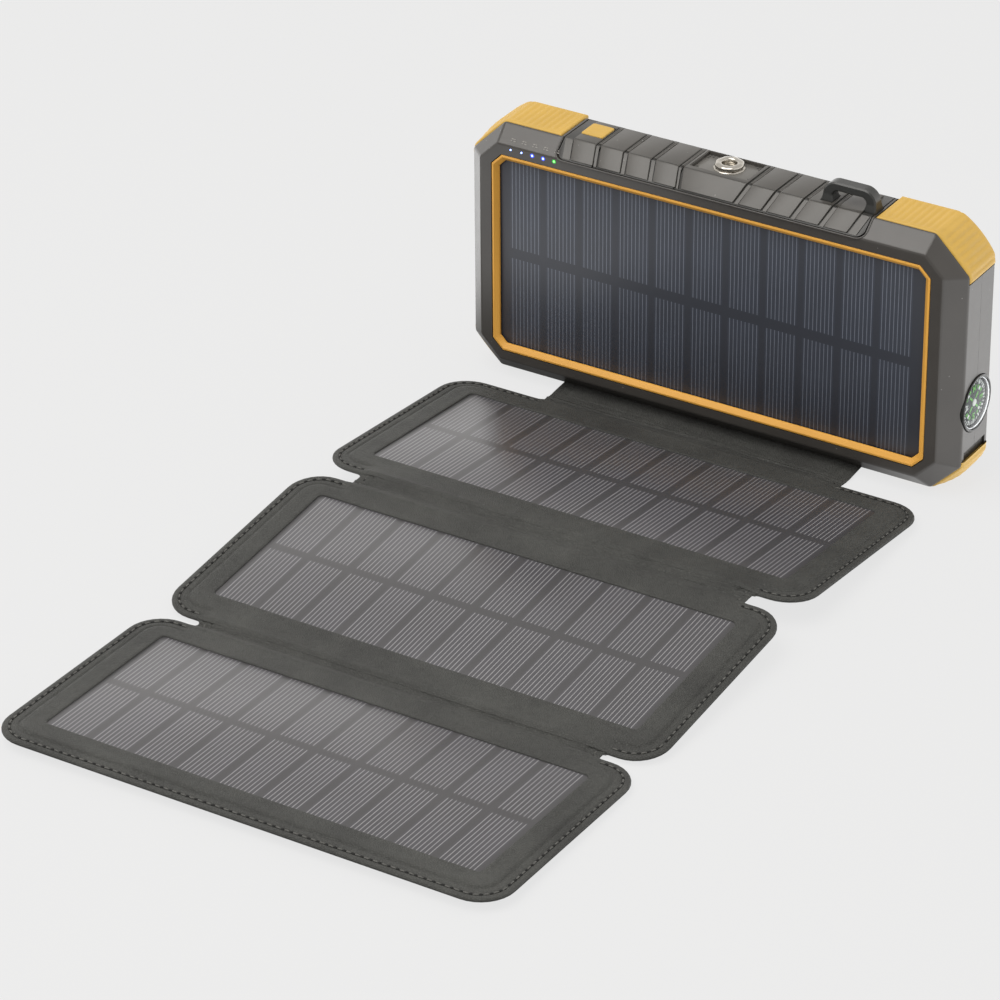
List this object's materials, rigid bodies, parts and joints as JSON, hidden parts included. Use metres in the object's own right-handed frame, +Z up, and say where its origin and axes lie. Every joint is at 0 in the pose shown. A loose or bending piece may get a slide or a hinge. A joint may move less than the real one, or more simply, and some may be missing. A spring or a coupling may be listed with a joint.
{
  "type": "solar phone charger",
  "caption": "Rugged power bank with a solar panel on its face and a leatherette folio of fold-out solar panels, snap stud, lanyard loop, port cover and compass.",
  "frame": {"origin": "middle of the unfolded charger's footprint, on the surface it stands on, in the bank's mirror plane", "axes": "+Z up, +X to the right as seen from the front, the bank's solar face and the fold-out folio point to -Y, +Y is the bank's back"},
  "size_m": [0.1785, 0.2916, 0.0954],
  "materials": {
    "housing": "fine satin texture, dark warm grey",
    "trim": "semi-gloss, warm grey",
    "amber": "satin, warm amber orange",
    "solar": "dark blue-black laminate over cells with fine pale grid lines",
    "leatherette": "fine pebbled grain with dark stitching along the edges",
    "stiffener": "raw fibreboard",
    "steel": "bright nickel plating",
    "clear": "polished clear plastic",
    "dial": "printed green and white compass card",
    "black": "satin black",
    "foil": "dull laminated foil",
    "foam": "closed-cell foam",
    "pcb": "solder-resist green"
  },
  "bodies": {
    "power_bank": {"bank_solar_panel": "solar", "battery_cell_1": "foil", "battery_cell_2": "foil", "battery_pad": "foam", "bottom_left_bumper": "amber", "bottom_right_bumper": "amber", "button_surround": "trim", "button_switch": "black", "case_screw_1": "steel", "case_screw_2": "steel", "case_screw_3": "steel", "case_screw_4": "steel", "circuit_board": "pcb", "clamp_plate": "trim", "clamp_screw_1": "steel", "clamp_screw_2": "steel", "compass_cup": "black", "compass_lens": "clear", "compass_pivot": "steel", "front_shell": "housing", "hinge_flap": "leatherette", "lanyard_loop": "black", "led_lens_1": "clear", "led_lens_2": "clear", "led_lens_3": "clear", "led_lens_4": "clear", "led_lens_5": "clear", "rear_shell": "housing", "snap_stud": "steel", "stud_plate": "trim", "top_left_bumper": "amber", "top_right_bumper": "amber", "top_trim": "trim", "trim_ring": "amber", "usb_a_shell": "steel", "usb_a_tongue": "black", "usb_c_shell": "steel", "usb_c_tongue": "black"},
    "power_button": {"power_button": "amber"},
    "port_cover": {"port_cover": "trim"},
    "compass_card": {"compass_card": "dial"},
    "strip_a": {"strip_a": "leatherette"},
    "panel_1": {"panel_1_backing": "leatherette", "panel_1_board": "stiffener", "panel_1_solar": "solar", "panel_1_frame": "leatherette", "strap_anchor": "leatherette"},
    "spine": {"spine_strip": "leatherette"},
    "panel_2": {"panel_2_backing": "leatherette", "panel_2_board": "stiffener", "panel_2_solar": "solar", "panel_2_frame": "leatherette", "fold_strip": "leatherette"},
    "panel_3": {"panel_3_backing": "leatherette", "panel_3_board": "stiffener", "panel_3_solar": "solar", "panel_3_frame": "leatherette"},
    "closure_strap": {"closure_strap": "leatherette", "snap_socket": "steel", "snap_cap": "steel"}
  },
  "joints": [
    {"name": "base_fold", "type": "hinge", "parent": "power_bank", "child": "strip_a", "pos_m": [0, 0.12236, 0.0007], "axis": [-1, 0, 0], "range_deg": [-90, 0]},
    {"name": "cover_fold", "type": "hinge", "parent": "strip_a", "child": "panel_1", "pos_m": [0, 0.10956, 0.00294], "axis": [-1, 0, 0], "range_deg": [0, 84.65]},
    {"name": "inner_fold", "type": "hinge", "parent": "panel_1", "child": "spine", "pos_m": [0, 0.02591, 0.00937], "axis": [-1, 0, 0], "range_deg": [0, 95.35]},
    {"name": "outer_fold", "type": "hinge", "parent": "spine", "child": "panel_2", "pos_m": [0, 0.01957, 0.00937], "axis": [-1, 0, 0], "range_deg": [0, 95.35]},
    {"name": "last_fold", "type": "hinge", "parent": "panel_2", "child": "panel_3", "pos_m": [0, -0.06341, 0.00315], "axis": [-1, 0, 0], "range_deg": [0, 173.27]},
    {"name": "strap_fold", "type": "hinge", "parent": "spine", "child": "closure_strap", "pos_m": [0, 0.02164, 0.00747], "axis": [-1, 0, 0], "range_deg": [-70, 0]},
    {"name": "cover_hinge", "type": "hinge", "parent": "power_bank", "child": "port_cover", "pos_m": [0, 0.13906, 0.0883], "axis": [-1, 0, 0], "range_deg": [0, 105]},
    {"name": "button_press", "type": "slide", "parent": "power_bank", "child": "power_button", "axis": [0, 0, -1], "range_m": [0, 0.0005], "stiffness_N_per_m": 1200},
    {"name": "compass_spin", "type": "hinge", "parent": "power_bank", "child": "compass_card", "pos_m": [0, 0.13126, 0.0295], "axis": [1, 0, 0], "continuous": true}
  ]
}
